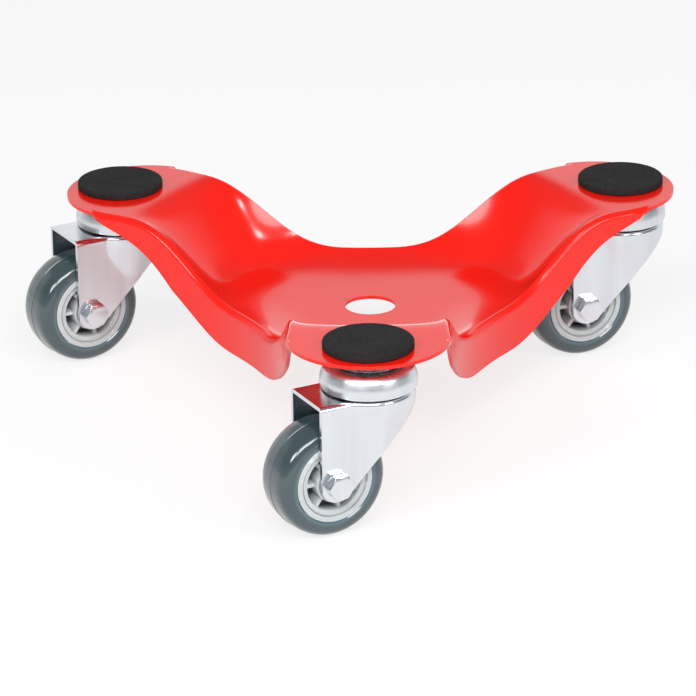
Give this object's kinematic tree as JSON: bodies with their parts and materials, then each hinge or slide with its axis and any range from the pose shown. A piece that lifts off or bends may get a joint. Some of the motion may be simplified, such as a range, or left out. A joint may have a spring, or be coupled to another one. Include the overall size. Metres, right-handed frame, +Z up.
{
  "type": "three-wheel dolly",
  "caption": "Low three-arm pressed-steel dolly with a foam pad and a swivel caster under each arm, for rolling a heavy load.",
  "frame": {"origin": "centre of the bounding box on the floor, with the casters trailing as stored", "axes": "+Z up, -Y along the front arm from the middle of the deck, +X to the right"},
  "size_m": [0.3826, 0.3304, 0.1051],
  "materials": {
    "deck_paint": "gloss red stove enamel",
    "pad_foam": "matt black closed-cell foam",
    "zinc": "bright zinc plate",
    "dark_steel": "blackened steel",
    "hub_plastic": "light grey moulded nylon",
    "tyre_urethane": "glossy slate grey polyurethane"
  },
  "bodies": {
    "deck": {"deck": "deck_paint", "pad_front": "pad_foam", "kingpin_front": "zinc", "spacer_front": "dark_steel", "race_cup_front": "zinc", "ball_retainer_front": "zinc", "lower_race_front": "zinc", "kingpin_nut_front": "zinc", "pad_right": "pad_foam", "kingpin_right": "zinc", "spacer_right": "dark_steel", "race_cup_right": "zinc", "ball_retainer_right": "zinc", "lower_race_right": "zinc", "kingpin_nut_right": "zinc", "pad_left": "pad_foam", "kingpin_left": "zinc", "spacer_left": "dark_steel", "race_cup_left": "zinc", "ball_retainer_left": "zinc", "lower_race_left": "zinc", "kingpin_nut_left": "zinc"},
    "fork_front": {"fork_front": "zinc", "axle_bolt_front": "zinc", "axle_nut_front": "zinc", "axle_sleeve_front": "zinc"},
    "wheel_front": {"wheel_hub_front": "hub_plastic", "tyre_front": "tyre_urethane", "bearing_near_front": "zinc", "bearing_far_front": "zinc"},
    "fork_right": {"fork_right": "zinc", "axle_bolt_right": "zinc", "axle_nut_right": "zinc", "axle_sleeve_right": "zinc"},
    "wheel_right": {"wheel_hub_right": "hub_plastic", "tyre_right": "tyre_urethane", "bearing_near_right": "zinc", "bearing_far_right": "zinc"},
    "fork_left": {"fork_left": "zinc", "axle_bolt_left": "zinc", "axle_nut_left": "zinc", "axle_sleeve_left": "zinc"},
    "wheel_left": {"wheel_hub_left": "hub_plastic", "tyre_left": "tyre_urethane", "bearing_near_left": "zinc", "bearing_far_left": "zinc"}
  },
  "joints": [
    {"name": "swivel_front", "type": "hinge", "parent": "deck", "child": "fork_front", "pos_m": [0.01364, -0.12591, 0.1008], "axis": [0, 0, 1], "continuous": true},
    {"name": "roll_front", "type": "hinge", "parent": "fork_front", "child": "wheel_front", "pos_m": [-0.01145, -0.13942, 0.0325], "axis": [0.4741, -0.8805, 0], "continuous": true},
    {"name": "swivel_right", "type": "hinge", "parent": "deck", "child": "fork_right", "pos_m": [0.16087, 0.12909, 0.1008], "axis": [0, 0, 1], "continuous": true},
    {"name": "roll_right", "type": "hinge", "parent": "fork_right", "child": "wheel_right", "pos_m": [0.13457, 0.11809, 0.0325], "axis": [0.3859, -0.9225, 0], "continuous": true},
    {"name": "swivel_left", "type": "hinge", "parent": "deck", "child": "fork_left", "pos_m": [-0.13358, 0.12909, 0.1008], "axis": [0, 0, 1], "continuous": true},
    {"name": "roll_left", "type": "hinge", "parent": "fork_left", "child": "wheel_left", "pos_m": [-0.15832, 0.11492, 0.0325], "axis": [0.497, -0.8678, 0], "continuous": true}
  ]
}
